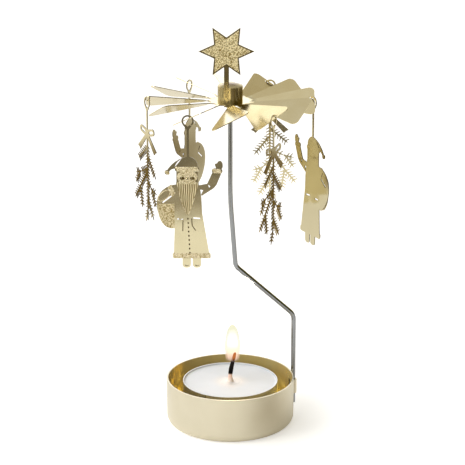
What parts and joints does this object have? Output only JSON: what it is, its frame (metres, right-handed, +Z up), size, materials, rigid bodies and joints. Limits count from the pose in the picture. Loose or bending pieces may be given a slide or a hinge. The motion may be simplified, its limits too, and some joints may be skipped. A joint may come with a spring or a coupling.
{
  "type": "candle carousel",
  "caption": "Tealight carousel: a round cup holds the candle and a bent wire whose needle point carries a bladed fan with a star and hanging flat figures and fir sprigs.",
  "frame": {"origin": "centre of the cup's flat underside", "axes": "+Z up along the rotor's axis, -Y towards the viewer of the picture, where the star's etched face points"},
  "size_m": [0.0763, 0.0759, 0.1632],
  "materials": {
    "cup_metal": "satin champagne plating outside, bright inside",
    "wire_steel": "drawn galvanised wire",
    "fan_sheet": "bright plated sheet",
    "hub_metal": "bright pressed thimble",
    "star_sheet": "etched sparkling face",
    "santa_sheet": "bright sheet with etched face",
    "sprig_sheet": "bright etched sheet",
    "shell_aluminium": "bright thin aluminium",
    "wax": "white paraffin wax",
    "wick_cotton": "charred cotton",
    "sustainer_tin": "tinned sheet"
  },
  "bodies": {
    "base": {"candle_cup": "cup_metal", "wire_stand": "wire_steel"},
    "rotor": {"rotor_fan": "fan_sheet", "hub_cap": "hub_metal", "star_topper": "star_sheet"},
    "tealight": {"tealight_shell": "shell_aluminium", "tealight_wax": "wax", "tealight_wick": "wick_cotton", "wick_sustainer": "sustainer_tin"},
    "santa_1": {"santa_pendant_1": "santa_sheet"},
    "santa_2": {"santa_pendant_2": "santa_sheet"},
    "santa_3": {"santa_pendant_3": "santa_sheet"},
    "sprig_1": {"sprig_pendant_1": "sprig_sheet"},
    "sprig_2": {"sprig_pendant_2": "sprig_sheet"},
    "sprig_3": {"sprig_pendant_3": "sprig_sheet"}
  },
  "joints": [
    {"name": "rotor_spin", "type": "hinge", "parent": "base", "child": "rotor", "pos_m": [0, 0, 0.1397], "axis": [0, 0, 1], "continuous": true},
    {"name": "tealight_lift", "type": "slide", "parent": "base", "child": "tealight", "axis": [0, 0, 1], "range_m": [0, 0.02]},
    {"name": "santa_swing_1", "type": "hinge", "parent": "rotor", "child": "santa_1", "pos_m": [-0.01617, -0.02802, 0.1332], "axis": [-1, 0, 0], "range_deg": [-8, 25]},
    {"name": "santa_swing_2", "type": "hinge", "parent": "rotor", "child": "santa_2", "pos_m": [0.03235, 0, 0.1332], "axis": [0.5, -0.866, 0], "range_deg": [-8, 25]},
    {"name": "santa_swing_3", "type": "hinge", "parent": "rotor", "child": "santa_3", "pos_m": [-0.01617, 0.02802, 0.1332], "axis": [0.5, 0.866, 0], "range_deg": [-8, 25]},
    {"name": "sprig_swing_1", "type": "hinge", "parent": "rotor", "child": "sprig_1", "pos_m": [0.01617, -0.02802, 0.1332], "axis": [-0.5, -0.866, 0], "range_deg": [-8, 25]},
    {"name": "sprig_swing_2", "type": "hinge", "parent": "rotor", "child": "sprig_2", "pos_m": [0.01617, 0.02802, 0.1332], "axis": [1, 0, 0], "range_deg": [-8, 25]},
    {"name": "sprig_swing_3", "type": "hinge", "parent": "rotor", "child": "sprig_3", "pos_m": [-0.03235, 0, 0.1332], "axis": [-0.5, 0.866, 0], "range_deg": [-8, 25]}
  ]
}
